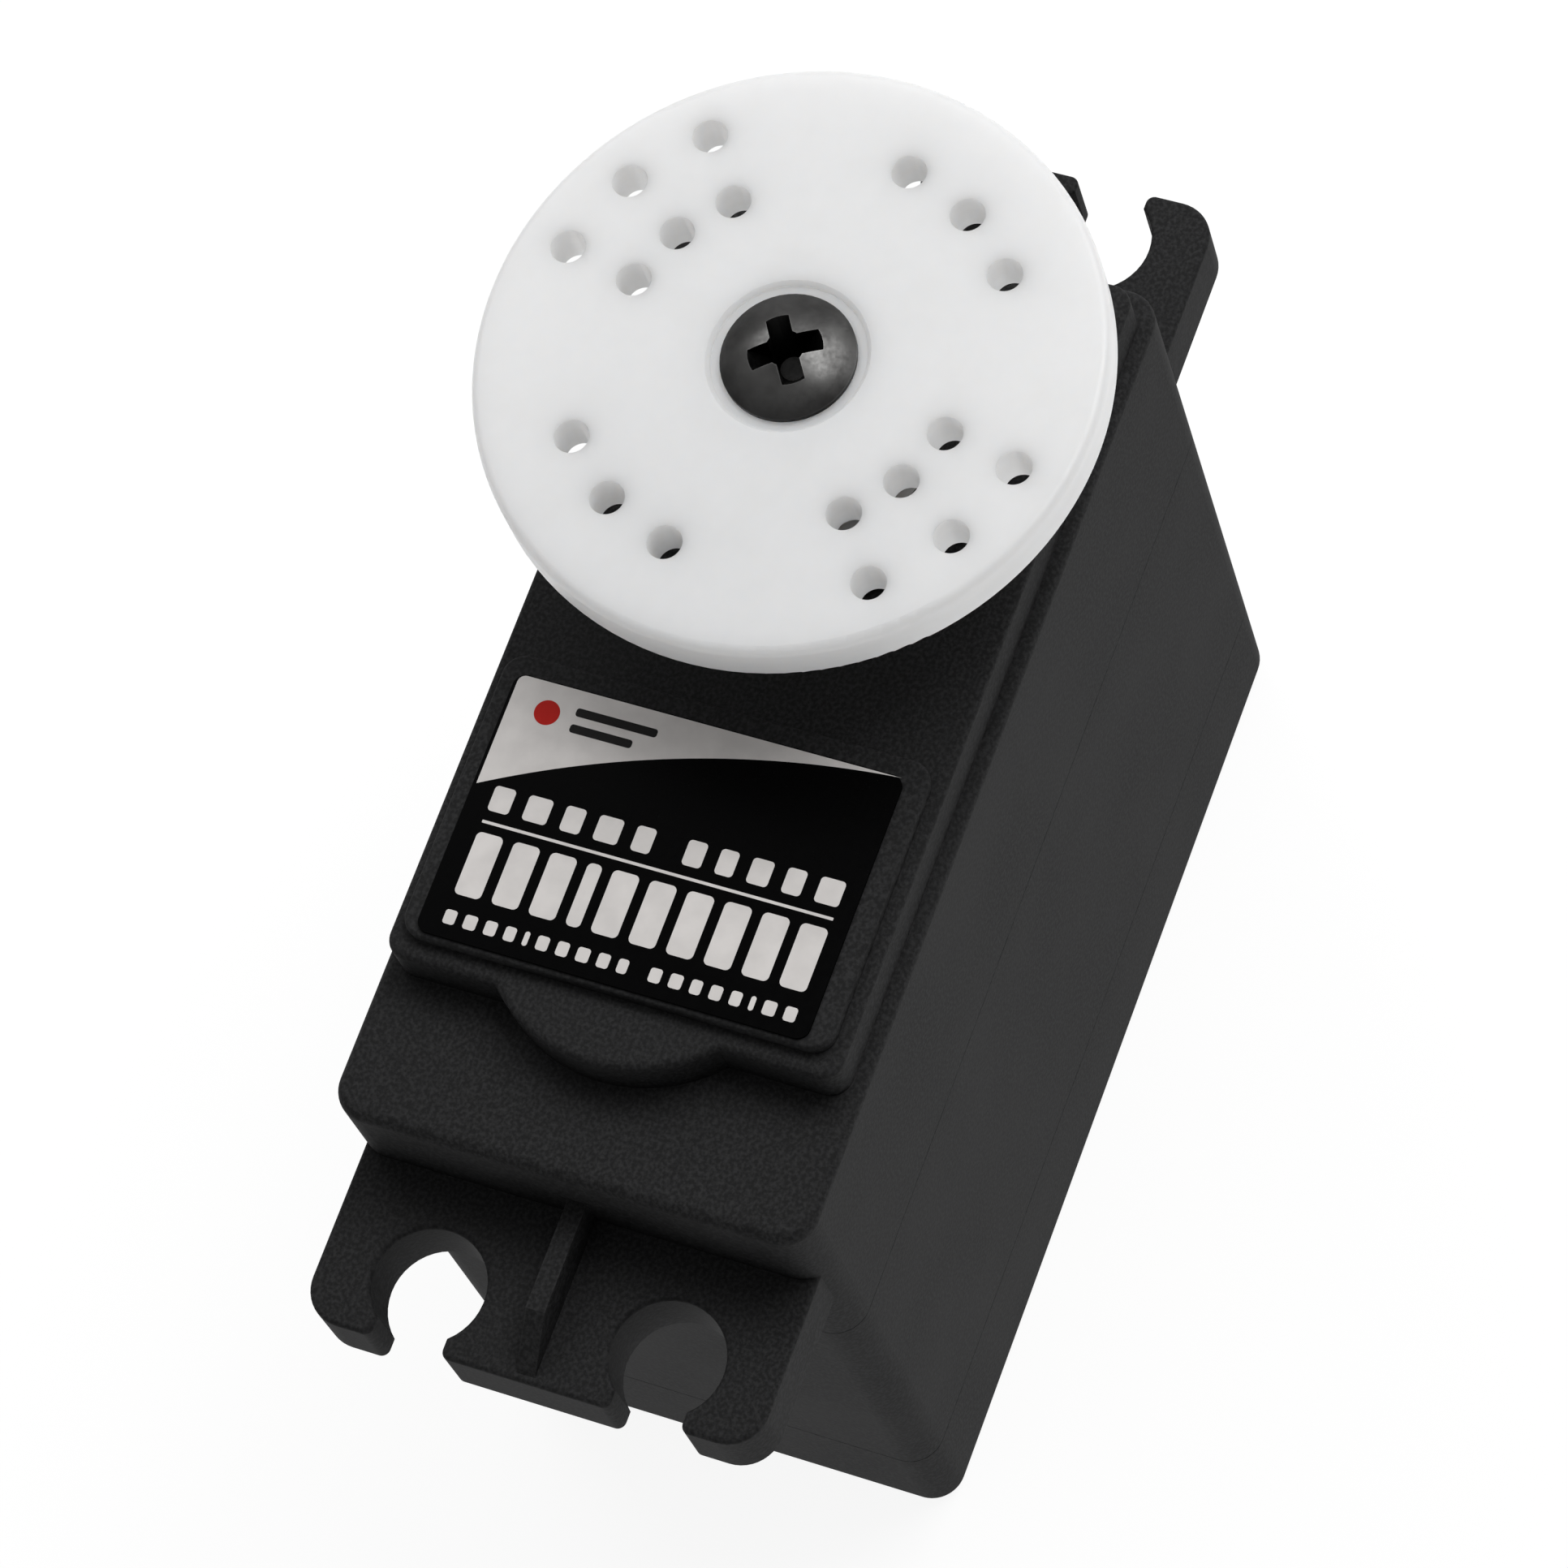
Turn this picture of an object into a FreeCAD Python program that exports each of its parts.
import FreeCAD, Part
import math
import os
import re

import Sketcher

# Standard-size servo motor with continuous rotation and a round wheel horn.
#
# Millimetres. The origin is on the output shaft's axis, on the case's bottom face.
# +Z points up the output shaft, -X points to the label end, +X to the shaft end.
# Every gear axis lies on the X axis, gear_centre apart: the output shaft, then the long
# pin, then the motor shaft with the short pin above it.

DIMENSIONS = {
    # case outline and levels
    "case_near": 30.5, "case_far": 10.6, "case_side": 9.93, "case_round": 1.4, "wall": 1.5,
    "cover_top": 5.8, "seam_level": 22.9, "seam_bevel": 0.06, "base_round": 0.6,
    "deck_bottom": 22.4, "deck_top": 24.4, "boss_bottom": 20.4, "fit_gap": 0.05, "touch_gap": 0.02,
    "shoulder_level": 33.9, "plateau_level": 36.0, "pad_level": 36.6, "roof": 1.6,
    "shoulder_round": 0.48, "plateau_round": 0.3, "pad_round": 0.15,
    "plateau_near": 24.5, "plateau_far": 9.7, "plateau_side": 9.4, "plateau_wall": 1.2,
    "bump_radius": 6.45, "pad_near": 23.7, "pad_far": 11.6, "pad_side": 8.87, "pad_corner": 0.9,
    # flanges
    "flange_bottom": 26.6, "flange_thick": 2.85, "flange_near": 37.42, "flange_far": 16.75,
    "flange_side": 9.55, "flange_corner": 1.6, "flange_edge": 0.2,
    "slot_near": 34.85, "slot_far": 14.35, "slot_side": 5.0, "slot_radius": 2.3,
    "throat_half": 1.47, "throat_round": 0.35,
    "rib_half": 0.4, "rib_rise": 1.75, "rib_flat": 4.5, "rib_toe": 0.3,
    # label sticker
    "label_near": 23.5, "label_far": 12.45, "label_half": 8.08, "label_shift": 0.12,
    "label_thick": 0.12, "label_corner": 0.5,
    # case screws and their corner posts
    "post_near": 28.1, "post_far": 7.5, "post_side": 7.7, "post_radius": 1.9, "foot_radius": 2.2,
    "screw_radius": 1.0, "screw_tip": 30.0, "screw_head": 1.8, "screw_head_top": 1.7,
    "screw_head_low": 0.4, "screw_pocket": 2.0, "screw_hole_end": 30.6,
    # lead inlet
    "inlet_half": 2.6, "inlet_bottom": 3.2, "lead_half": 1.95, "lead_low": 3.9, "lead_high": 5.2,
    "grommet_lip": 0.6,
    # gears: shared
    "gear_centre": 10.0, "fine_module": 0.4, "coarse_module": 0.5, "pressure_angle": 25.0,
    "addendum": 0.9, "dedendum": 1.15, "tooth_thinning": 0.03,
    "motor_teeth": 11, "first_wheel_teeth": 39, "first_small_teeth": 11,
    "second_wheel_teeth": 39, "second_small_teeth": 10, "third_wheel_teeth": 30,
    "third_small_teeth": 10, "output_teeth": 30,
    # gears: levels
    "motor_gear_low": 24.9, "motor_gear_high": 26.7, "first_low": 25.0, "first_mid": 26.6,
    "first_high": 28.7, "first_hub_low": 24.5, "second_low": 27.1, "second_mid": 28.6,
    "second_high": 30.95, "second_hub_high": 31.05, "third_low": 29.0, "third_mid": 30.8,
    "third_high": 33.9, "third_hub_low": 28.8, "output_low": 31.2, "output_high": 33.8,
    "hub_radius": 1.7,
    # gear pins
    "pin_radius": 1.0, "pin_bore": 1.05, "long_pin_low": 21.0, "short_pin_low": 27.3,
    "pin_high": 35.3, "pin_socket": 35.35, "pin_boss": 2.0, "long_boss_low": 34.1,
    "short_boss_low": 31.15,
    # output shaft, boss and bearings
    "boss_radius": 6.6, "boss_level": 38.4, "boss_round": 0.4, "upper_seat": 35.2,
    "lower_seat": 21.4, "bearing_thick": 3.0, "upper_outer": 5.0, "upper_inner": 3.0,
    "upper_pitch": 4.0, "upper_ball": 0.6, "lower_outer": 4.0, "lower_inner": 1.5,
    "lower_pitch": 2.75, "lower_ball": 0.6, "race_wall": 0.55, "lower_boss": 5.4,
    "seat_hole": 4.05, "shaft_collar": 3.5, "shaft_low": 21.5, "spline_low": 38.35,
    "spline_high": 41.8, "spline_tip": 2.93, "spline_root": 2.68, "spline_count": 24,
    "thread_radius": 1.53, "thread_end": 34.5, "lower_lip": 2.6,
    # wheel horn and its screw
    "horn_radius": 12.3, "horn_low": 42.1, "horn_high": 44.15, "horn_round": 0.35,
    "horn_hub": 4.8, "horn_hub_low": 38.9, "socket_high": 41.9, "socket_slack": 0.04,
    "horn_turn": 57.87, "hole_step": 20.0, "hole_radius": 0.69, "ring_inner": 7.09,
    "ring_middle": 8.72, "ring_outer": 10.16, "dish_radius": 3.05, "dish_depth": 0.28,
    "dish_edge": 0.15, "horn_hole": 1.6, "horn_screw_radius": 1.5, "horn_screw_tip": 35.2,
    "horn_screw_head": 2.65, "head_edge": 0.2, "head_rise": 1.02, "cross_half": 0.45,
    "cross_reach": 1.64, "cross_foot": 0.5, "cross_depth": 1.9, "cross_turn": 33.4,
    # motor
    "can_radius": 7.9, "can_wall": 0.8, "can_low": 4.9, "can_boss": 3.0, "can_boss_high": 24.0,
    "shaft_radius": 1.0, "motor_shaft_low": 4.5, "motor_shaft_high": 26.9, "bush_radius": 2.0,
    "bush_length": 2.2, "magnet_inner": 5.6, "magnet_low": 9.0, "magnet_high": 19.5,
    "magnet_turn": 65.0, "core_radius": 5.2, "core_low": 10.0, "core_high": 18.4,
    "neck_half": 0.75, "ring_thick": 0.9, "core_hub": 1.9, "coil_low": 9.0, "coil_high": 19.4,
    "coil_half": 1.75, "coil_in": 2.3, "coil_out": 3.85, "commutator_radius": 1.7,
    "commutator_low": 7.0, "commutator_high": 8.7, "end_cap_high": 6.5, "brush_half": 0.15,
    "brush_reach": 5.2, "brush_low": 7.3, "brush_high": 8.4, "terminal_side": 4.4,
    "terminal_half": 0.8, "terminal_thick": 0.4, "terminal_low": 2.5, "motor_screw_side": 4.9,
    "motor_screw_radius": 0.8, "motor_screw_low": 21.7, "motor_screw_head": 1.5,
    "motor_screw_top": 25.3,
    # circuit board
    "board_near": 25.6, "board_far": 4.9, "board_side": 8.0, "board_low": 2.9,
    "board_thick": 1.0, "rest_half": 0.6, "chip_long": 8.6, "chip_wide": 3.9, "chip_tall": 1.4,
    "capacitor_radius": 2.5, "capacitor_tall": 9.0, "trim_size": 5.0, "trim_tall": 2.6,
    "wiper_radius": 1.6, "wiper_tall": 0.9,
}

doc = FreeCAD.newDocument("servo_motor")
sheet = doc.addObject("Spreadsheet::Sheet", "dims")
for row, (word, amount) in enumerate(DIMENSIONS.items(), start=1):
    sheet.set(f"A{row}", word)
    sheet.set(f"B{row}", str(amount))
    sheet.setAlias(f"B{row}", word)
doc.recompute()

PARTS = []


# ---------------------------------------------------------------- shared helpers

def cells(formula):
    """The formula with each dimension's word pointed at its cell in the sheet."""
    return re.sub(r"[a-z_]+", lambda w: "dims." + w.group() if w.group() in DIMENSIONS
                  else w.group(), formula)


def size(word):
    """The sheet's present value of one dimension."""
    return float(sheet.get(word))


def bind(thing, **formulas):
    """Bind properties to formulas; x, y, z and turn stand for the object's placement."""
    paths = {"x": "Placement.Base.x", "y": "Placement.Base.y", "z": "Placement.Base.z",
             "turn": "Placement.Rotation.Angle"}
    for name, formula in formulas.items():
        thing.setExpression(paths.get(name, name), cells(formula))
    return thing


def keep(thing, label):
    """Name a finished sub-part, which is written out under that name."""
    thing.Label = label
    PARTS.append(thing)
    return thing


def new_body(name, **place):
    """An empty PartDesign body whose placement is bound to the sheet."""
    return bind(doc.addObject("PartDesign::Body", name), **place)


def new_sketch(body, plane_role="XY_Plane", level="0"):
    """A sketch on one of the body's own planes, raised to a level along the plane's normal."""
    sketch = body.newObject("Sketcher::SketchObject", body.Name + "_sketch")
    plane = next(f for f in body.Origin.OriginFeatures if f.Role == plane_role)
    sketch.AttachmentSupport = [(plane, "")]
    sketch.MapMode = "FlatFace"
    sketch.setExpression("AttachmentOffset.Base.z", cells(level))
    return sketch


def pin_point(sketch, geometry, point, x, y):
    """Hold one point of a sketch at formulas for its two coordinates."""
    for kind, formula in (("DistanceX", x), ("DistanceY", y)):
        index = sketch.addConstraint(Sketcher.Constraint(kind, -1, 1, geometry, point, 1.0))
        sketch.setExpression(f"Constraints[{index}]", cells(formula))


def polygon(sketch, corners):
    """A closed straight-sided outline through corners given as pairs of formulas."""
    first = sketch.GeometryCount
    count = len(corners)
    start = [FreeCAD.Vector(math.cos(2 * math.pi * k / count), math.sin(2 * math.pi * k / count))
             for k in range(count)]
    for k in range(count):
        sketch.addGeometry(Part.LineSegment(start[k], start[(k + 1) % count]), False)
    for k in range(count):
        after = first + (k + 1) % count
        sketch.addConstraint(Sketcher.Constraint("Coincident", first + k, 2, after, 1))
    for k, (x, y) in enumerate(corners):
        pin_point(sketch, first + k, 1, x, y)
    return sketch


def rectangle(sketch, left, right, front, back):
    """A rectangle from two X formulas and two Y formulas."""
    return polygon(sketch, [(left, front), (right, front), (right, back), (left, back)])


def circle(sketch, x, y, radius):
    """A circle with its centre and radius given as formulas."""
    start = Part.Circle(FreeCAD.Vector(1, 1, 0), FreeCAD.Vector(0, 0, 1), 1)
    geometry = sketch.addGeometry(start, False)
    pin_point(sketch, geometry, 3, x, y)
    index = sketch.addConstraint(Sketcher.Constraint("Radius", geometry, 1.0))
    sketch.setExpression(f"Constraints[{index}]", cells(radius))
    return sketch


def pad(body, sketch, length):
    """Raise a sketch into material."""
    feature = body.newObject("PartDesign::Pad", body.Name + "_pad")
    feature.Profile = sketch
    feature.setExpression("Length", cells(length))
    doc.recompute()
    return feature


def pocket(body, sketch, depth):
    """Cut a sketch downwards out of the body, and make sure that it removed something."""
    before = body.Shape.Volume
    feature = body.newObject("PartDesign::Pocket", body.Name + "_pocket")
    feature.Profile = sketch
    feature.setExpression("Length", cells(depth))
    doc.recompute()
    if not body.Shape.Volume < before - 1e-6:
        raise RuntimeError(f"{feature.Name} cut nothing")
    return feature


def revolve(body, corners):
    """Turn a half section, given as (radius, height) formulas, round the body's Z axis."""
    sketch = polygon(new_sketch(body, "XZ_Plane"), corners)
    feature = body.newObject("PartDesign::Revolution", body.Name + "_turned")
    feature.Profile = sketch
    feature.ReferenceAxis = (sketch, ["V_Axis"])
    feature.Angle = 360
    doc.recompute()
    return feature


def dress(body, kind, amount, wanted):
    """Round or bevel the edges of the body's tip that pass a test."""
    base = body.Tip
    names = [f"Edge{k}" for k, edge in enumerate(base.Shape.Edges, start=1) if wanted(edge)]
    feature = body.newObject("PartDesign::" + kind, body.Name + "_" + kind.lower())
    feature.Base = (base, names)
    feature.setExpression("Radius" if kind == "Fillet" else "Size", cells(amount))
    doc.recompute()
    return feature


def is_upright(edge):
    """True for a straight edge along Z."""
    box = edge.BoundBox
    return box.XLength + box.YLength < 1e-6 and box.ZLength > 1e-6


def upright_at(*places):
    """A test for upright edges that stand at the given (x, y) places."""
    def wanted(edge):
        box = edge.BoundBox
        return is_upright(edge) and any(math.hypot(box.XMin - x, box.YMin - y) < 1e-3
                                        for x, y in places)
    return wanted


def level_edge(level, reach_x, reach_y):
    """A test for edges at one height that run outside a central rectangle."""
    def wanted(edge):
        box = edge.BoundBox
        flat = abs(box.ZMin - level) < 1e-4 and abs(box.ZMax - level) < 1e-4
        low_x, high_x = reach_x
        inside = box.XMin > low_x and box.XMax < high_x and abs(box.Center.y) < reach_y
        return flat and not inside
    return wanted


def cylinder(name, radius, low, high, x="0", y="0"):
    """An upright Part cylinder between two levels."""
    return bind(doc.addObject("Part::Cylinder", name), Radius=radius,
                Height=f"{high} - ({low})", x=x, y=y, z=low)


def tube(name, outer, inner, low, high, x="0", y="0"):
    """An upright hollow cylinder between two levels."""
    ring = doc.addObject("Part::Cut", name)
    ring.Base = cylinder(name + "_outside", outer, low, high, x, y)
    ring.Tool = cylinder(name + "_bore", inner, low, high, x, y)
    return ring


def block(name, left, right, front, back, low, high):
    """A Part box between pairs of formulas along X, Y and Z."""
    return bind(doc.addObject("Part::Box", name), Length=f"{right} - ({left})",
                Width=f"{back} - ({front})", Height=f"{high} - ({low})",
                x=left, y=front, z=low)


def fuse(name, *pieces):
    """One solid from several touching pieces."""
    whole = doc.addObject("Part::MultiFuse", name)
    whole.Shapes = list(pieces)
    whole.Refine = True
    return whole


def cut(name, base, *tools):
    """A base piece with one or more tools taken out of it."""
    result = doc.addObject("Part::Cut", name)
    result.Base = base
    result.Tool = tools[0] if len(tools) == 1 else fuse(name + "_tools", *tools)
    return result


def common(name, one, other):
    """The material that two pieces share."""
    result = doc.addObject("Part::Common", name)
    result.Base = one
    result.Tool = other
    return result


def group(name, *pieces):
    """Separate solids that share one node."""
    result = doc.addObject("Part::Compound", name)
    result.Links = list(pieces)
    return result


# ---------------------------------------------------------------- case shells

CORNER_POSTS = [(x, y) for x in ("-post_near", "post_far") for y in ("-post_side", "post_side")]


def outline_corners(near, far, side):
    """The four plan corners of a shell, as numbers."""
    return [(x, y) for x in (-near, far) for y in (-side, side)]


def case_shell(body, low, high):
    """The case's outer block between two levels, with rounded upright corners."""
    outline = rectangle(new_sketch(body, level=low), "-case_near", "case_far",
                        "-case_side", "case_side")
    pad(body, outline, f"{high} - ({low})")
    corners = outline_corners(size("case_near"), size("case_far"), size("case_side"))
    dress(body, "Fillet", "case_round", upright_at(*corners))


def cavity(body, top, depth, near="case_near - wall", far="case_far - wall",
           side="case_side - wall"):
    """A rectangular pocket cut down from a level."""
    room = rectangle(new_sketch(body, level=top), f"-({near})", far, f"-({side})", side)
    pocket(body, room, depth)


def posts(body, low, high, radius="post_radius"):
    """Four corner posts for the case screws."""
    plan = new_sketch(body, level=low)
    for x, y in CORNER_POSTS:
        circle(plan, x, y, radius)
    pad(body, plan, f"{high} - ({low})")


def screw_holes(body, high, low, radius):
    """Four round holes on the case screws' axes."""
    plan = new_sketch(body, level=high)
    for x, y in CORNER_POSTS:
        circle(plan, x, y, radius)
    pocket(body, plan, f"{high} - ({low})")


def bevel_seam(body, level):
    """A fine bevel round a shell's upper edge, where the next shell stands on it."""
    dress(body, "Chamfer", "seam_bevel", level_edge(level, (0, 0), 0))


def bottom_cover():
    """Shallow tray that closes the case from below, with feet for the four screws."""
    body = new_body("bottom_cover_body")
    case_shell(body, "0", "cover_top")
    bevel_seam(body, size("cover_top"))
    base = level_edge(0.0, (0, 0), 0)
    dress(body, "Fillet", "base_round", base)
    cavity(body, "cover_top", "cover_top - wall")
    posts(body, "wall", "cover_top", "foot_radius")
    rests = new_sketch(body, level="wall")
    for x in ("-23.6", "-1"):
        rectangle(rests, f"{x} - rest_half", f"{x} + rest_half",
                  "-(case_side - wall)", "case_side - wall")
    pad(body, rests, "board_low - wall")
    inlet = rectangle(new_sketch(body, level="cover_top"), "case_far - wall - 0.2",
                      "case_far + 0.2", "-inlet_half", "inlet_half")
    pocket(body, inlet, "cover_top - inlet_bottom")
    screw_holes(body, "cover_top", "0", "screw_radius + 0.1")
    heads = new_sketch(body, level="screw_head_top")
    for x, y in CORNER_POSTS:
        circle(heads, x, y, "screw_pocket")
    pocket(body, heads, "screw_head_top")
    return keep(body, "bottom_cover")


def middle_case():
    """Tall shell round the motor; its top is the deck that the gears run on."""
    body = new_body("middle_case_body")
    case_shell(body, "cover_top", "seam_level")
    bevel_seam(body, size("seam_level"))
    spigot = rectangle(new_sketch(body, level="seam_level"), "-(case_near - wall - fit_gap)",
                       "case_far - wall - fit_gap", "-(case_side - wall - fit_gap)",
                       "case_side - wall - fit_gap")
    pad(body, spigot, "deck_top - seam_level")
    cavity(body, "deck_bottom", "deck_bottom - cover_top")
    posts(body, "cover_top", "deck_bottom")
    bosses = new_sketch(body, level="boss_bottom")
    circle(bosses, "0", "0", "lower_boss")
    pad(body, bosses, "deck_bottom - boss_bottom")
    pin_boss = circle(new_sketch(body, level="boss_bottom"), "-gear_centre", "0", "pin_boss")
    pad(body, pin_boss, "deck_bottom - boss_bottom")
    # clearance round the upper case's own posts
    clear = new_sketch(body, level="deck_top")
    for x, y in CORNER_POSTS:
        circle(clear, x, y, "post_radius + fit_gap")
    pocket(body, clear, "deck_top - seam_level")
    # seats: lower bearing, long pin, motor boss and the two motor screws
    seat = circle(new_sketch(body, level="deck_top"), "0", "0", "lower_outer + touch_gap")
    pocket(body, seat, "deck_top - lower_seat")
    lip = circle(new_sketch(body, level="lower_seat"), "0", "0", "lower_lip")
    pocket(body, lip, "lower_seat - boss_bottom + 0.1")
    socket = circle(new_sketch(body, level="deck_top"), "-gear_centre", "0",
                    "pin_radius + touch_gap")
    pocket(body, socket, "deck_top - long_pin_low")
    motor = circle(new_sketch(body, level="deck_top"), "-2 * gear_centre", "0",
                   "can_boss + fit_gap")
    pocket(body, motor, "deck_top - deck_bottom")
    fixings = new_sketch(body, level="deck_top")
    for side in ("motor_screw_side", "-motor_screw_side"):
        circle(fixings, "-2 * gear_centre", side, "motor_screw_radius + 0.1")
    pocket(body, fixings, "deck_top - deck_bottom")
    screw_holes(body, "seam_level", "cover_top", "screw_radius + 0.1")
    return keep(body, "middle_case")


def flange_plan(body):
    """Flat mounting flanges: one plate, rounded at its corners, with four open slots."""
    plate = rectangle(new_sketch(body, level="flange_bottom"), "-flange_near", "flange_far",
                      "-flange_side", "flange_side")
    pad(body, plate, "flange_thick")
    corners = outline_corners(size("flange_near"), size("flange_far"), size("flange_side"))
    dress(body, "Fillet", "flange_corner", upright_at(*corners))
    top = "flange_bottom + flange_thick"
    slots = new_sketch(body, level=f"{top} + 1")
    throats = new_sketch(body, level=f"{top} + 1")
    for centre, end in (("-slot_near", "-flange_near - 1"), ("slot_far", "flange_far + 1")):
        for side in ("slot_side", "-slot_side"):
            circle(slots, centre, side, "slot_radius")
            left, right = (end, centre) if centre.startswith("-") else (centre, end)
            rectangle(throats, left, right, f"{side} - throat_half", f"{side} + throat_half")
    pocket(body, slots, "flange_thick + 2")
    pocket(body, throats, "flange_thick + 2")
    mouth = [(x, y + dy) for x in (-size("flange_near"), size("flange_far"))
             for y in (size("slot_side"), -size("slot_side"))
             for dy in (size("throat_half"), -size("throat_half"))]
    dress(body, "Fillet", "throat_round", upright_at(*mouth))
    level = size("flange_bottom") + size("flange_thick")
    walls = (-size("case_near"), size("case_far"))

    def on_rim(edge):
        box = edge.BoundBox
        flat = abs(box.ZMin - level) < 1e-4 and abs(box.ZMax - level) < 1e-4
        outside = box.XMax < walls[0] + 1e-3 or box.XMin > walls[1] - 1e-3
        along_wall = box.XLength < 1e-4 and min(abs(box.XMin - x) for x in walls) < 1e-3
        return flat and outside and not along_wall
    dress(body, "Fillet", "flange_edge", on_rim)
    # ribs that stiffen both flanges, sloping away at their outer ends
    ribs = new_sketch(body, "XZ_Plane", "-rib_half")
    for end, face, sign in (("-flange_near", "-case_near", "-"), ("flange_far", "case_far", "")):
        crest = f"{face} {'-' if sign else '+'} rib_flat"
        toe = f"{end} {'+' if sign else '-'} rib_toe"
        polygon(ribs, [(f"{face} {'+' if sign else '-'} 1", "flange_bottom + 1"),
                       (f"{face} {'+' if sign else '-'} 1", f"{top} + rib_rise"),
                       (crest, f"{top} + rib_rise"), (toe, top), (toe, "flange_bottom + 1")])
    pad(body, ribs, "2 * rib_half")


def upper_case():
    """Gear cover with the flanges, raised plateau, label pad and the output bearing's boss."""
    body = new_body("upper_case_body")
    plateau = rectangle(new_sketch(body, level="seam_level"), "-plateau_near",
                        "plateau_far", "-plateau_side", "plateau_side")
    pad(body, plateau, "plateau_level - seam_level")
    corners = outline_corners(size("plateau_near"), size("plateau_far"), size("plateau_side"))
    dress(body, "Fillet", "pad_corner", upright_at(*corners))
    case_shell(body, "seam_level", "shoulder_level")
    within = (0.1 - size("case_near"), size("case_far") - 0.1)
    dress(body, "Fillet", "shoulder_round",
          level_edge(size("shoulder_level"), within, size("case_side") - 0.1))
    flange_plan(body)
    bump = circle(new_sketch(body, level="shoulder_level - 1"), "-2 * gear_centre", "0",
                  "bump_radius")
    pad(body, bump, "plateau_level - shoulder_level + 1")
    dress(body, "Fillet", "plateau_round", level_edge(size("plateau_level"), (0, 0), 0))
    label_pad = rectangle(new_sketch(body, level="plateau_level - 0.5"), "-pad_near",
                          "-pad_far", "-pad_side", "pad_side")
    pad(body, label_pad, "pad_level - plateau_level + 0.5")
    corners = outline_corners(size("pad_near"), -size("pad_far"), size("pad_side"))
    dress(body, "Fillet", "pad_corner", upright_at(*corners))
    dress(body, "Fillet", "pad_round", level_edge(size("pad_level"), (0, 0), 0))
    boss = circle(new_sketch(body, level="plateau_level - 0.5"), "0", "0", "boss_radius")
    pad(body, boss, "boss_level - plateau_level + 0.5")
    dress(body, "Fillet", "boss_round", level_edge(size("boss_level"), (0, 0), 0))
    # gear room: up to the shoulder everywhere, and higher under the plateau and the bump
    cavity(body, "shoulder_level - roof", "shoulder_level - roof - seam_level")
    room_level = "plateau_level - roof"
    cavity(body, room_level, f"{room_level} - seam_level", "plateau_near - plateau_wall",
           "plateau_far - plateau_wall", "plateau_side - plateau_wall")
    over_motor = circle(new_sketch(body, level=room_level), "-2 * gear_centre", "0",
                        "bump_radius - wall")
    pocket(body, over_motor, f"{room_level} - seam_level")
    posts(body, "seam_level", "shoulder_level - 0.5 * roof")
    for place, low in (("-gear_centre", "long_boss_low"), ("-2 * gear_centre", "short_boss_low")):
        pin_boss = circle(new_sketch(body, level=low), place, "0", "pin_boss")
        pad(body, pin_boss, f"{room_level} - {low} + 0.2")
        socket = circle(new_sketch(body, level="pin_socket"), place, "0",
                        "pin_radius + touch_gap")
        pocket(body, socket, f"pin_socket - {low}")
    screw_holes(body, "screw_hole_end", "seam_level", "screw_radius + touch_gap")
    seat = circle(new_sketch(body, level="boss_level"), "0", "0", "upper_outer + touch_gap")
    pocket(body, seat, "boss_level - upper_seat")
    through = circle(new_sketch(body, level="upper_seat"), "0", "0", "seat_hole")
    pocket(body, through, "upper_seat - plateau_level + roof + 0.1")
    return keep(body, "upper_case")


def label_sticker():
    """Thin sticker on the raised pad."""
    body = new_body("label_body")
    sheet_plan = rectangle(new_sketch(body, level="pad_level"), "-label_near", "-label_far",
                           "label_shift - label_half", "label_shift + label_half")
    pad(body, sheet_plan, "label_thick")
    dress(body, "Fillet", "label_corner", is_upright)
    return keep(body, "label_sticker")


def cross_recess(name, top, half, reach, foot, depth, turn, x="0", y="0"):
    """A cross-shaped cutter that narrows with depth, turned about the screw's axis."""
    arms = [block(f"{name}_arm0", f"-({reach})", reach, f"-({half})", half, "0", depth),
            block(f"{name}_arm1", f"-({half})", half, f"-({reach})", reach, "0", depth),
            cylinder(f"{name}_core", f"1.65 * {half}", "0", depth)]
    cone = bind(doc.addObject("Part::Cone", name + "_cone"), Radius1=foot, Radius2=reach,
                Height=depth)
    cutter = common(name, fuse(name + "_arms", *arms), cone)
    return bind(cutter, x=x, y=y, z=f"{top} - ({depth})", turn=turn)


def case_screws():
    """Four long screws that clamp the three shells together from below."""
    screws = []
    for k, (x, y) in enumerate(CORNER_POSTS):
        shank = cylinder(f"case_screw_shank{k}", "screw_radius", "screw_head_top - 0.2",
                         "screw_tip", x, y)
        head = cylinder(f"case_screw_head{k}", "screw_head", "screw_head_low",
                        "screw_head_top - 0.02", x, y)
        whole = fuse(f"case_screw_blank{k}", head, shank)
        # the heads face down, so their recess widens downwards
        cross = cross_recess(f"case_screw_cross{k}", "0", "0.3", "1.15", "0.35", "1.1", "45")
        turned = group(f"case_screw_recess{k}", cross)
        turned.Placement = FreeCAD.Placement(FreeCAD.Vector(), FreeCAD.Rotation(180, 0, 180))
        bind(turned, x=x, y=y, z="screw_head_low - 0.1")
        screws.append(cut(f"case_screw{k}", whole, turned))
    return keep(group("case_screw_group", *screws), "case_screws")


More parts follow.
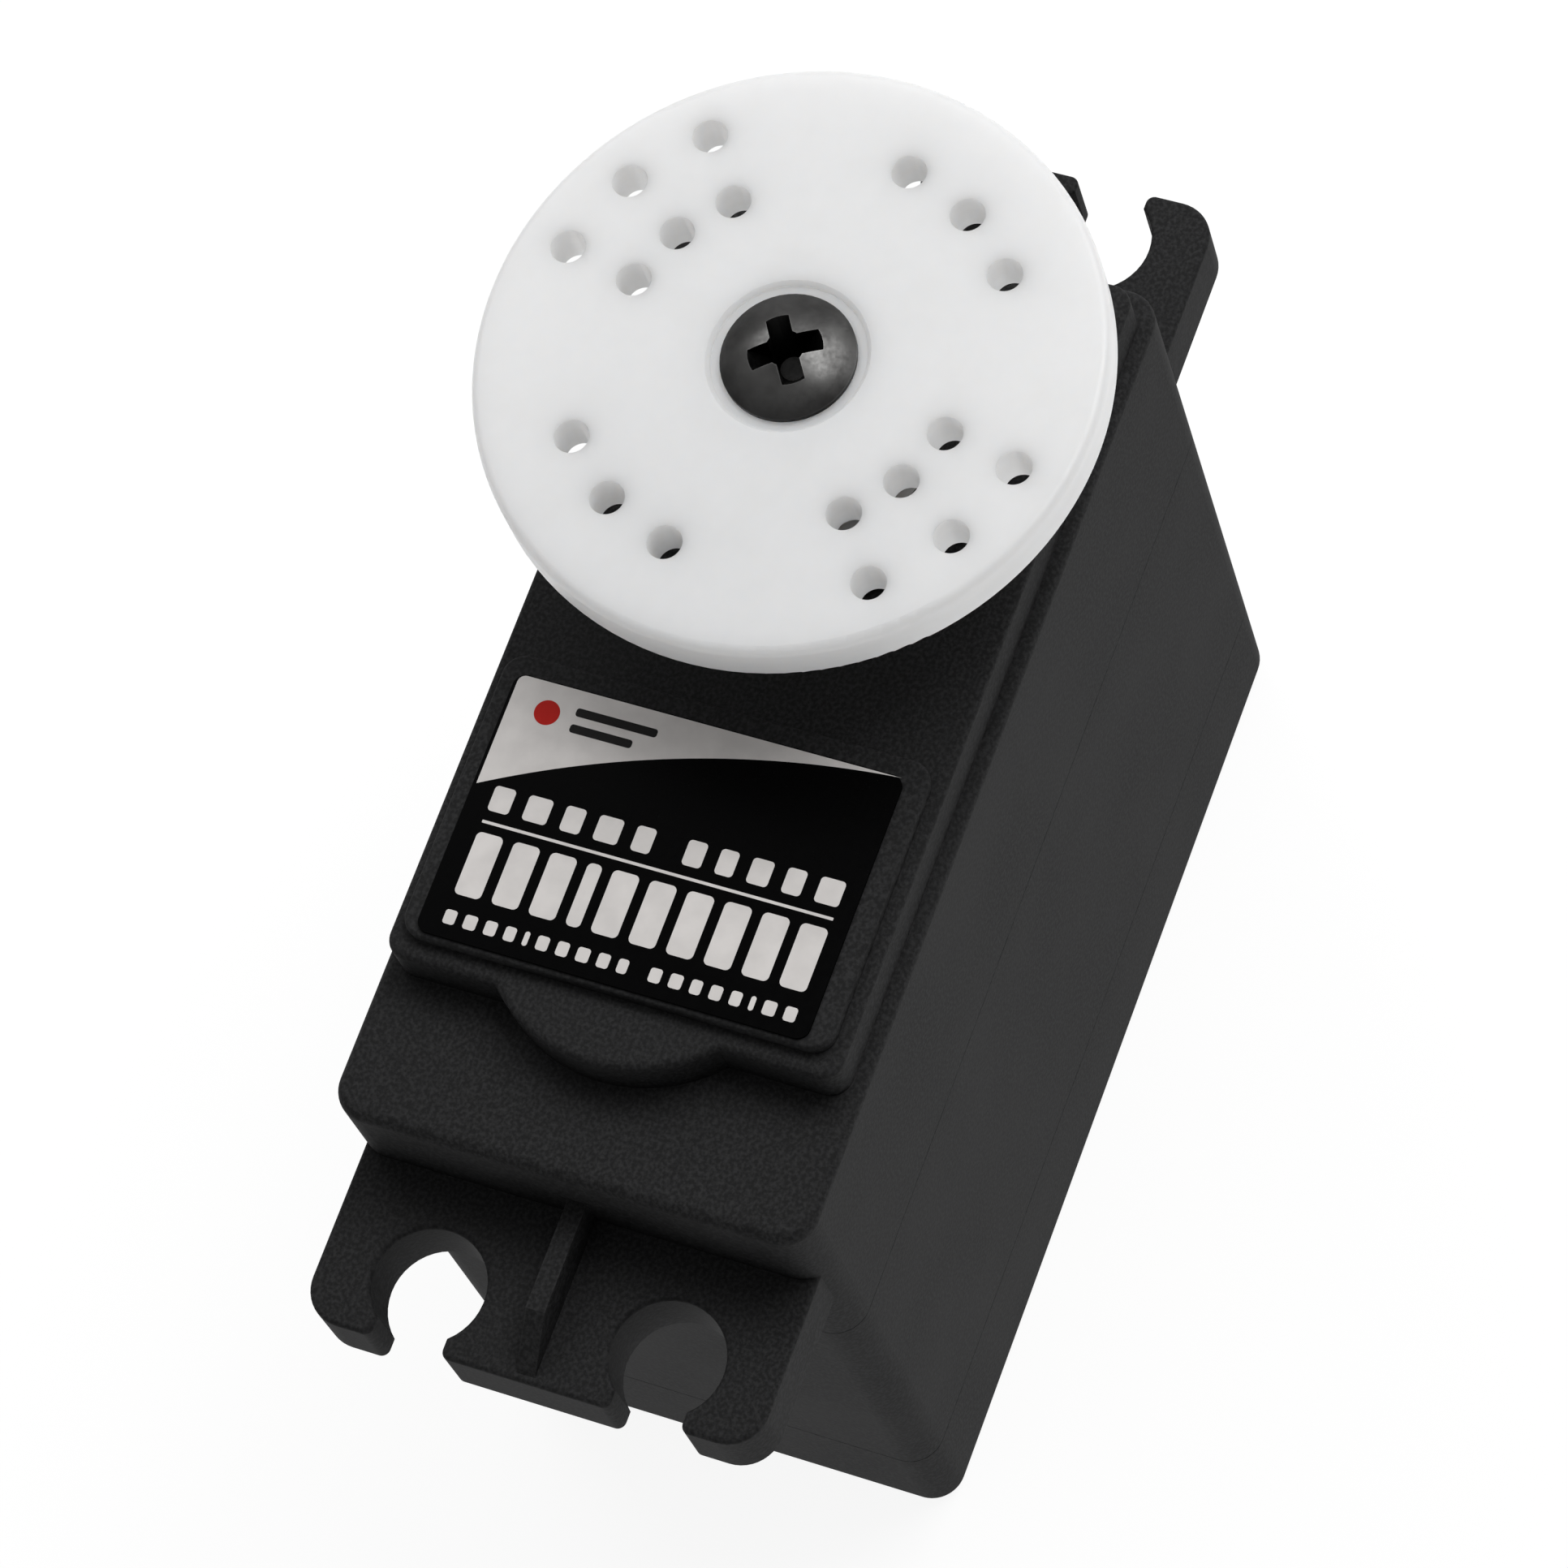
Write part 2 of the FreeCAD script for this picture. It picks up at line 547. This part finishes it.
def cable_grommet():
    """Rubber inlet for the flat three-core lead, held in the cover's end wall."""
    outer = block("grommet_block", "case_far - wall - grommet_lip", "case_far - 0.1",
                  "-(inlet_half - touch_gap)", "inlet_half - touch_gap",
                  "inlet_bottom + touch_gap", "cover_top - touch_gap")
    lip = block("grommet_inner_lip", "case_far - wall - grommet_lip", "case_far - wall - 0.05",
                "-(inlet_half + 0.5)", "inlet_half + 0.5", "inlet_bottom - 0.5",
                "cover_top - touch_gap")
    passage = block("grommet_passage", "case_far - 5", "case_far + 1", "-lead_half",
                    "lead_half", "lead_low", "lead_high")
    rounded = doc.addObject("Part::Fillet", "grommet_passage_rounded")
    rounded.Base = passage
    doc.recompute()
    along = [k for k, edge in enumerate(passage.Shape.Edges, start=1)
             if edge.BoundBox.XLength > 1]
    rounded.Edges = [(k, 0.5, 0.5) for k in along]
    return keep(cut("grommet", fuse("grommet_outer", outer, lip), rounded), "cable_grommet")


# ---------------------------------------------------------------- gears

def involute_flank(base, start, end, thickness_angle, steps=6):
    """Points on one flank from radius start to end; thickness_angle is half a tooth at base."""
    points = []
    for k in range(steps + 1):
        radius = start + (end - start) * k / steps
        roll = math.sqrt(max((radius / base) ** 2 - 1.0, 0.0))
        angle = thickness_angle - (roll - math.atan(roll))
        points.append(FreeCAD.Vector(radius * math.cos(angle), radius * math.sin(angle)))
    return points


def gear_face(teeth, module, first_tooth):
    """A spur gear's plan with thinned involute teeth; first_tooth is one tooth's direction."""
    pressure = math.radians(size("pressure_angle"))
    pitch = 0.5 * module * teeth
    base = pitch * math.cos(pressure)
    tip = pitch + size("addendum") * module
    root = pitch - size("dedendum") * module
    half_pitch = (0.25 * math.pi * module - 0.5 * size("tooth_thinning")) / pitch
    half_base = half_pitch + math.tan(pressure) - pressure
    foot = max(base, root)
    step = 2.0 * math.pi / teeth
    edges = []
    for k in range(teeth):
        turn = FreeCAD.Rotation(FreeCAD.Vector(0, 0, 1),
                                first_tooth + math.degrees(k * step))
        rising = [turn.multVec(p) for p in involute_flank(base, foot, tip, half_base)]
        mirror = [FreeCAD.Vector(p.x, -p.y) for p in involute_flank(base, foot, tip, half_base)]
        falling = [turn.multVec(p) for p in mirror]
        half_root = math.degrees(half_base)
        roots = [turn.multVec(FreeCAD.Rotation(FreeCAD.Vector(0, 0, 1), angle)
                              .multVec(FreeCAD.Vector(root, 0, 0)))
                 for angle in (-half_root, half_root, math.degrees(step) / 2,
                               math.degrees(step) - half_root)]
        crest = turn.multVec(FreeCAD.Vector(tip, 0, 0))
        for line_start, line_end in ((roots[0], falling[0]), (rising[0], roots[1])):
            if line_start.distanceToPoint(line_end) > 1e-4:
                edges.append(Part.LineSegment(line_start, line_end).toShape())
        for flank in (falling, rising):
            curve = Part.BSplineCurve()
            curve.interpolate(flank)
            edges.append(curve.toShape())
        edges.append(Part.Arc(falling[-1], crest, rising[-1]).toShape())
        edges.append(Part.Arc(roots[1], roots[2], roots[3]).toShape())
    wire = Part.Wire(Part.__sortEdges__(edges))
    return Part.Face(wire)


def gear_blank(name, teeth, module, first_tooth, low, high, x):
    """A toothed disc between two levels: a plan face in the document, extruded upwards."""
    plan = doc.addObject("Part::Feature", name + "_plan")
    plan.Shape = gear_face(int(size(teeth)), size(module), first_tooth)
    bind(plan, x=x, z=low)
    disc = doc.addObject("Part::Extrusion", name + "_disc")
    disc.Base = plan
    disc.DirMode = "Custom"
    disc.Dir = FreeCAD.Vector(0, 0, 1)
    disc.Solid = True
    bind(disc, LengthFwd=f"{high} - ({low})")
    return disc


def gap_facing(teeth, direction):
    """The direction of a tooth whose neighbouring gap faces the given direction."""
    return direction + 180.0 / size(teeth)


def compound_gear(name, x, wheel, small, hub_levels):
    """A wheel and a small gear in one moulding, bored to run on its pin."""
    wheel_disc = gear_blank(name + "_wheel", *wheel, x)
    small_disc = gear_blank(name + "_small", *small, x)
    hub = cylinder(name + "_hub", "hub_radius", *hub_levels, x)
    bore = cylinder(name + "_bore", "pin_bore", f"{hub_levels[0]} - 1",
                    f"{hub_levels[1]} + 1", x)
    return keep(cut(name + "_solid", fuse(name + "_whole", wheel_disc, small_disc, hub), bore),
                name)


def gear_train():
    """Three compound gears; each mesh lies on the X axis, a tooth of one in a gap of the other."""
    compound_gear("first_gear", "-gear_centre",
                  ("first_wheel_teeth", "fine_module", gap_facing("first_wheel_teeth", 180),
                   "first_low", "first_mid"),
                  ("first_small_teeth", "fine_module", 180, "first_mid", "first_high"),
                  ("first_hub_low", "first_high"))
    compound_gear("second_gear", "-2 * gear_centre",
                  ("second_wheel_teeth", "fine_module", gap_facing("second_wheel_teeth", 0),
                   "second_low", "second_mid"),
                  ("second_small_teeth", "coarse_module", 0, "second_mid", "second_high"),
                  ("second_low", "second_hub_high"))
    compound_gear("third_gear", "-gear_centre",
                  ("third_wheel_teeth", "coarse_module", gap_facing("third_wheel_teeth", 180),
                   "third_low", "third_mid"),
                  ("third_small_teeth", "coarse_module", 0, "third_mid", "third_high"),
                  ("third_hub_low", "third_high"))


def gear_pins():
    """Steel pins: the long one through the first and third gears, the short one in the cover."""
    keep(cylinder("long_pin", "pin_radius", "long_pin_low", "pin_high", "-gear_centre"),
         "long_gear_pin")
    keep(cylinder("short_pin", "pin_radius", "short_pin_low", "pin_high", "-2 * gear_centre"),
         "short_gear_pin")


def output_gear():
    """Output gear, shaft and splined end in one moulding, bored for the horn screw."""
    body = new_body("output_shaft_body")
    revolve(body, [("0", "shaft_low"), ("lower_inner - touch_gap", "shaft_low"),
                   ("lower_inner - touch_gap", "deck_top + 0.1"),
                   ("lower_inner + 0.25", "deck_top + 0.1"),
                   ("lower_inner + 0.25", "output_low + 0.2"),
                   ("shaft_collar", "output_low + 0.2"), ("shaft_collar", "upper_seat - 0.02"),
                   ("upper_inner - touch_gap", "upper_seat - 0.02"),
                   ("upper_inner - touch_gap", "spline_low"), ("spline_tip", "spline_low"),
                   ("spline_tip", "spline_high"), ("0", "spline_high")])
    groove = new_sketch(body, level="spline_high")
    half = "(180 / spline_count)"
    polygon(groove, [("spline_root", "0"), (f"3.3 * cos{half}", f"-3.3 * sin{half}"),
                     (f"3.3 * cos{half}", f"3.3 * sin{half}")])
    spline_pattern(body, pocket(body, groove, "spline_high - spline_low"))
    thread = circle(new_sketch(body, level="spline_high"), "0", "0", "thread_radius")
    pocket(body, thread, "spline_high - thread_end")
    disc = gear_blank("output_wheel", "output_teeth", "coarse_module",
                      gap_facing("output_teeth", 180), "output_low", "output_high", "0")
    core = cylinder("output_wheel_bore", "thread_radius + 1", "output_low - 1",
                    "output_high + 1")
    web = cut("output_wheel_ring", disc, core)
    return keep(fuse("output_gear_whole", web, body), "output_gear")


def spline_pattern(body, groove):
    """Repeat one spline groove round the body's axis."""
    pattern = body.newObject("PartDesign::PolarPattern", body.Name + "_splines")
    pattern.Originals = [groove]
    pattern.Axis = (groove.Profile[0], ["N_Axis"])
    pattern.Angle = 360
    bind(pattern, Occurrences="spline_count")
    body.Tip = pattern
    doc.recompute()


# ---------------------------------------------------------------- bearings

def torus(name, pitch, ball, level):
    """The groove that the balls run in."""
    return bind(doc.addObject("Part::Torus", name), Radius1=pitch, Radius2=f"{ball} + 0.03",
                z=level)


def ball_bearing(end, seat, balls):
    """Outer ring, inner ring, balls and cage of one open ball bearing."""
    low, high = seat, f"{seat} + bearing_thick"
    middle = f"{seat} + 0.5 * bearing_thick"
    outer, inner, pitch, ball = (f"{end}_{word}" for word in ("outer", "inner", "pitch", "ball"))
    name = f"{end}_bearing"
    ring = tube(name + "_outer_blank", outer, f"{outer} - race_wall", low, high)
    keep(cut(name + "_outer", ring, torus(name + "_outer_race", pitch, ball, middle)),
         name + "_outer_ring")
    ring = tube(name + "_inner_blank", f"{inner} + race_wall", inner, low, high)
    keep(cut(name + "_inner", ring, torus(name + "_inner_race", pitch, ball, middle)),
         name + "_inner_ring")
    spheres, pockets = [], []
    for k in range(balls):
        angle = 360 * k / balls
        place = {"x": f"{pitch} * cos({angle})", "y": f"{pitch} * sin({angle})", "z": middle}
        spheres.append(bind(doc.addObject("Part::Sphere", f"{name}_ball{k}"),
                            Radius=ball, **place))
        pockets.append(bind(doc.addObject("Part::Sphere", f"{name}_pocket{k}"),
                            Radius=f"{ball} + 0.04", **place))
    keep(group(name + "_ball_group", *spheres), name + "_balls")
    blank = tube(name + "_cage_blank", f"{pitch} + 0.2", f"{pitch} - 0.2",
                 f"{middle} - 0.1", f"{middle} + 0.95")
    keep(cut(name + "_cage_solid", blank, *pockets), name + "_cage")


# ---------------------------------------------------------------- horn and its screw

def wheel_horn():
    """Round horn: a drilled disc on a splined hub."""
    body = new_body("wheel_horn_body")
    disc = circle(new_sketch(body, level="horn_low"), "0", "0", "horn_radius")
    pad(body, disc, "horn_high - horn_low")
    dress(body, "Fillet", "horn_round", lambda edge: edge.BoundBox.ZLength < 1e-6)
    hub = circle(new_sketch(body, level="horn_hub_low"), "0", "0", "horn_hub")
    pad(body, hub, "horn_low - horn_hub_low + 0.5")
    dish = circle(new_sketch(body, level="horn_high"), "0", "0", "dish_radius")
    pocket(body, dish, "dish_depth")
    rim = size("horn_high")
    dress(body, "Chamfer", "dish_edge",
          lambda edge: edge.BoundBox.ZMin > rim - 1e-4 and edge.BoundBox.XMax < size("horn_hub"))
    # pairs of holes on the inner and outer rings, single holes between them
    holes = new_sketch(body, level="horn_high")
    for half_turn in (0, 180):
        for step in (-1, 0, 1):
            for ring, offset in (("ring_inner", 0), ("ring_outer", 0), ("ring_middle", 90)):
                angle = f"(horn_turn + {half_turn + offset} + {step} * hole_step)"
                circle(holes, f"{ring} * cos{angle}", f"{ring} * sin{angle}", "hole_radius")
    pocket(body, holes, "horn_high - horn_low")
    hole = circle(new_sketch(body, level="horn_high"), "0", "0", "horn_hole")
    pocket(body, hole, "horn_high - horn_hub_low")
    socket = circle(new_sketch(body, level="socket_high"), "0", "0", "spline_root + socket_slack")
    pocket(body, socket, "socket_high - horn_hub_low")
    groove = new_sketch(body, level="socket_high")
    half = "(180 / spline_count)"
    reach = [("(spline_root + socket_slack)", 0), ("(spline_tip + socket_slack)", 0.45),
             ("(spline_tip + socket_slack)", 1.55), ("(spline_root + socket_slack)", 2)]
    polygon(groove, [(f"{radius} * cos({part} * {half})", f"{radius} * sin({part} * {half})")
                     for radius, part in reach])
    spline_pattern(body, pocket(body, groove, "socket_high - horn_hub_low"))
    return keep(body, "wheel_horn")


def horn_screw():
    """Domed pan-head screw that holds the horn on the spline."""
    seat = "(horn_high - dish_depth)"
    shank = cylinder("horn_screw_shank", "horn_screw_radius", "horn_screw_tip", f"{seat} + 0.2")
    edge = cylinder("horn_screw_edge", "horn_screw_head", seat, f"{seat} + head_edge")
    # the dome is the part of a ball above the head's straight edge
    ball_radius = "((horn_screw_head^2 + (head_rise - head_edge)^2) / (2 * (head_rise - head_edge)))"
    ball = bind(doc.addObject("Part::Sphere", "horn_screw_ball"), Radius=ball_radius,
                z=f"{seat} + head_rise - {ball_radius}")
    keep_above = cylinder("horn_screw_zone", "horn_screw_head", f"{seat} + head_edge",
                          f"{seat} + head_rise + 1")
    dome = common("horn_screw_dome", ball, keep_above)
    blank = fuse("horn_screw_blank", shank, edge, dome)
    cross = cross_recess("horn_screw_cross", f"{seat} + head_rise + 0.05", "cross_half",
                         "cross_reach", "cross_foot", "cross_depth", "cross_turn")
    return keep(cut("horn_screw_solid", blank, cross), "horn_screw")


# ---------------------------------------------------------------- motor

MOTOR_X = "-2 * gear_centre"


def motor_housing():
    """Steel can, two magnets, end cap, bushes, brushes, terminals and fixing screws."""
    shell = cylinder("can_shell", "can_radius", "can_low", "deck_bottom", MOTOR_X)
    neck = cylinder("can_neck", "can_boss", "deck_bottom - 0.2", "can_boss_high", MOTOR_X)
    inside = cylinder("can_inside", "can_radius - can_wall", "can_low - 1",
                      "deck_bottom - can_wall", MOTOR_X)
    bush_hole = cylinder("can_bush_hole", "bush_radius + touch_gap", "deck_bottom - 2",
                         "can_boss_high + 1", MOTOR_X)
    taps = [cylinder(f"can_tap{k}", "motor_screw_radius + touch_gap", "deck_bottom - 2",
                     "deck_bottom + 1", MOTOR_X, side)
            for k, side in enumerate(("motor_screw_side", "-motor_screw_side"))]
    can = fuse("can_outside", shell, neck)
    keep(cut("can", can, inside, bush_hole, *taps), "motor_can")

    magnet_ring = tube("magnet_ring", "can_radius - can_wall - touch_gap", "magnet_inner",
                       "magnet_low", "magnet_high", MOTOR_X)
    sectors = []
    for k, side in enumerate((0, 180)):
        sector = bind(doc.addObject("Part::Cylinder", f"magnet_sector{k}"),
                      Radius="can_radius", Height="magnet_high - magnet_low",
                      Angle="2 * magnet_turn", x=MOTOR_X, z="magnet_low",
                      turn=f"{side} - magnet_turn")
        sectors.append(common(f"magnet{k}", magnet_ring, sector))
    keep(group("magnet_group", *sectors), "motor_magnets")

    cap = cylinder("end_cap_disc", "can_radius - can_wall - touch_gap", "can_low",
                   "end_cap_high", MOTOR_X)
    bore = cylinder("end_cap_bore", "bush_radius + touch_gap", "can_low - 1",
                    "end_cap_high + 1", MOTOR_X)
    slits = [block(f"end_cap_slit{k}", f"{MOTOR_X} - terminal_half - touch_gap",
                   f"{MOTOR_X} + terminal_half + touch_gap",
                   f"{side} - 0.5 * terminal_thick - touch_gap",
                   f"{side} + 0.5 * terminal_thick + touch_gap", "can_low - 1",
                   "end_cap_high + 1")
             for k, side in enumerate(("terminal_side", "-terminal_side"))]
    keep(cut("end_cap", cap, bore, *slits), "motor_end_cap")

    keep(tube("top_bush", "bush_radius", "shaft_radius + fit_gap",
              "can_boss_high - bush_length", "can_boss_high", MOTOR_X), "motor_top_bush")
    keep(tube("bottom_bush", "bush_radius", "shaft_radius + fit_gap", "can_low",
              "can_low + 1.5", MOTOR_X), "motor_bottom_bush")

    brushes, terminals = [], []
    for k, sign in enumerate(("", "-")):
        inner = f"commutator_radius + fit_gap"
        near, far = (inner, f"{inner} + 2 * brush_half")
        front, back = (near, far) if not sign else (f"-({far})", f"-({near})")
        brushes.append(block(f"brush{k}", f"{MOTOR_X} - brush_reach", f"{MOTOR_X} + 1", front,
                             back, "brush_low", "brush_high"))
        middle = f"{sign}terminal_side"
        terminals.append(block(f"terminal{k}", f"{MOTOR_X} - terminal_half",
                               f"{MOTOR_X} + terminal_half", f"{middle} - 0.5 * terminal_thick",
                               f"{middle} + 0.5 * terminal_thick", "terminal_low",
                               "end_cap_high + 0.5"))
    keep(group("brush_group", *brushes), "motor_brushes")
    keep(group("terminal_group", *terminals), "motor_terminals")

    screws = []
    for k, side in enumerate(("motor_screw_side", "-motor_screw_side")):
        shank = cylinder(f"motor_screw_shank{k}", "motor_screw_radius", "motor_screw_low",
                         "deck_top + 0.2", MOTOR_X, side)
        head = cylinder(f"motor_screw_head{k}", "motor_screw_head", "deck_top",
                        "motor_screw_top", MOTOR_X, side)
        cross = cross_recess(f"motor_screw_cross{k}", "motor_screw_top + 0.1", "0.22", "0.9",
                             "0.3", "0.7", "0", MOTOR_X, side)
        blank = fuse(f"motor_screw_blank{k}", shank, head)
        screws.append(cut(f"motor_screw{k}", blank, cross))
    keep(group("motor_screw_group", *screws), "motor_screws")


def armature():
    """Shaft, pinion, three-pole core, three coils and commutator of the motor's rotor."""
    keep(cylinder("rotor_shaft", "shaft_radius", "motor_shaft_low", "motor_shaft_high",
                  MOTOR_X), "motor_shaft")
    pinion = gear_blank("pinion", "motor_teeth", "fine_module", 0, "motor_gear_low",
                        "motor_gear_high", MOTOR_X)
    bore = cylinder("pinion_bore", "shaft_radius + touch_gap", "motor_gear_low - 1",
                    "motor_gear_high + 1", MOTOR_X)
    keep(cut("pinion_solid", pinion, bore), "motor_pinion")

    # each pole is a neck with a curved shoe, a third of a turn apart
    pieces = [cylinder("core_hub_rod", "core_hub", "core_low", "core_high", MOTOR_X)]
    coils = []
    for k in range(3):
        turn = f"{120 * k + 30}"
        neck = block(f"pole_neck{k}", "0", "core_radius - 0.2", "-neck_half", "neck_half", "0",
                     "core_high - core_low")
        shoe_ring = tube(f"pole_shoe_ring{k}", "core_radius", "core_radius - ring_thick", "0",
                         "core_high - core_low")
        wedge = bind(doc.addObject("Part::Cylinder", f"pole_wedge{k}"),
                     Radius="core_radius + 1", Height="core_high - core_low", Angle="96",
                     turn="-48")
        pole = fuse(f"pole{k}", neck, common(f"pole_shoe{k}", shoe_ring, wedge))
        pieces.append(bind(pole, x=MOTOR_X, z="core_low", turn=turn))
        winding = block(f"coil_block{k}", "coil_in", "coil_out", "-coil_half", "coil_half",
                        "0", "coil_high - coil_low")
        window = block(f"coil_window{k}", "coil_in - 1", "coil_out + 1",
                       "-(neck_half + touch_gap)", "neck_half + touch_gap",
                       "core_low - coil_low - touch_gap", "core_high - coil_low + touch_gap")
        coil = cut(f"coil{k}", winding, window)
        coils.append(bind(coil, x=MOTOR_X, z="coil_low", turn=turn))
    bore = cylinder("core_bore", "shaft_radius + touch_gap", "core_low - 1", "core_high + 1",
                    MOTOR_X)
    keep(cut("core", fuse("core_blank", *pieces), bore), "armature_core")
    keep(group("coil_group", *coils), "armature_windings")
    keep(tube("commutator_ring", "commutator_radius", "shaft_radius + touch_gap",
              "commutator_low", "commutator_high", MOTOR_X), "commutator")


# ---------------------------------------------------------------- circuit board

BOARD_TOP = "board_low + board_thick"


def electronics():
    """The control board under the motor, with the parts soldered to it."""
    board = block("board_plate", "-board_near", "board_far", "-board_side", "board_side",
                  "board_low", BOARD_TOP)
    holes = [block(f"board_hole{k}", f"{MOTOR_X} - terminal_half - 0.1",
                   f"{MOTOR_X} + terminal_half + 0.1", f"{side} - 0.5 * terminal_thick - 0.1",
                   f"{side} + 0.5 * terminal_thick + 0.1", "board_low - 1", f"{BOARD_TOP} + 1")
             for k, side in enumerate(("terminal_side", "-terminal_side"))]
    keep(cut("board", board, *holes), "circuit_board")

    keep(block("chip", "-9", "chip_long - 9", "7 - chip_wide", "7", BOARD_TOP,
               f"{BOARD_TOP} + chip_tall"), "controller_chip")
    transistors = [block(f"transistor{k}", f"{-9.5 + 3.6 * k}", f"{-6.6 + 3.6 * k}", "0.4",
                         "1.9", BOARD_TOP, f"{BOARD_TOP} + 1") for k in range(4)]
    keep(group("transistor_group", *transistors), "drive_transistors")
    resistors = [block(f"resistor{k}", f"{-2.2 + 1.5 * k}", f"{-1.4 + 1.5 * k}", "-1.7",
                       "-0.1", BOARD_TOP, f"{BOARD_TOP} + 0.5") for k in range(4)]
    keep(group("resistor_group", *resistors), "board_resistors")
    keep(cylinder("capacitor", "capacitor_radius", BOARD_TOP,
                  f"{BOARD_TOP} + capacitor_tall", "-7.6", "-4.6"), "smoothing_capacitor")

    trim_x, trim_y = "1.6", "-4.9"
    half = "0.5 * trim_size"
    case = block("trim_block", f"{trim_x} - {half}", f"{trim_x} + {half}", f"{trim_y} - {half}",
                 f"{trim_y} + {half}", BOARD_TOP, f"{BOARD_TOP} + trim_tall")
    seat = cylinder("trim_seat", "wiper_radius + fit_gap", f"{BOARD_TOP} + trim_tall - 0.7",
                    f"{BOARD_TOP} + trim_tall + 1", trim_x, trim_y)
    keep(cut("trim_case", case, seat), "trim_pot_body")
    low = f"{BOARD_TOP} + trim_tall - 0.65"
    wiper = cylinder("wiper_disc", "wiper_radius", low, f"{low} + wiper_tall", trim_x, trim_y)
    slot = block("wiper_slot", f"{trim_x} - 2", f"{trim_x} + 2", f"{trim_y} - 0.25",
                 f"{trim_y} + 0.25", f"{low} + 0.5", f"{low} + wiper_tall + 1")
    keep(cut("wiper", wiper, slot), "trim_pot_wiper")


# ---------------------------------------------------------------- build and export

def build():
    """Make every sub-part."""
    upper_case()
    middle_case()
    bottom_cover()
    label_sticker()
    case_screws()
    cable_grommet()
    gear_train()
    gear_pins()
    output_gear()
    ball_bearing("upper", "upper_seat", 9)
    ball_bearing("lower", "lower_seat", 7)
    wheel_horn()
    horn_screw()
    motor_housing()
    armature()
    electronics()
    doc.recompute()


def check():
    """Stop if any object failed or any sub-part is not a sound solid."""
    for thing in doc.Objects:
        if any(word in thing.State for word in ("Invalid", "Error")):
            raise RuntimeError(f"{thing.Name} failed: {thing.State}")
    for thing in PARTS:
        shape = thing.Shape
        if shape.isNull() or not shape.isValid() or not shape.Solids:
            raise RuntimeError(f"{thing.Label} has no sound shape")


def export():
    """Write each sub-part to its own file."""
    os.makedirs("parts", exist_ok=True)
    for thing in PARTS:
        thing.Shape.exportStep(f"parts/{thing.Label}.step")
        print(f"{thing.Label}: {len(thing.Shape.Solids)} solid(s), "
              f"{thing.Shape.Volume:.1f} mm3")


build()
check()
export()
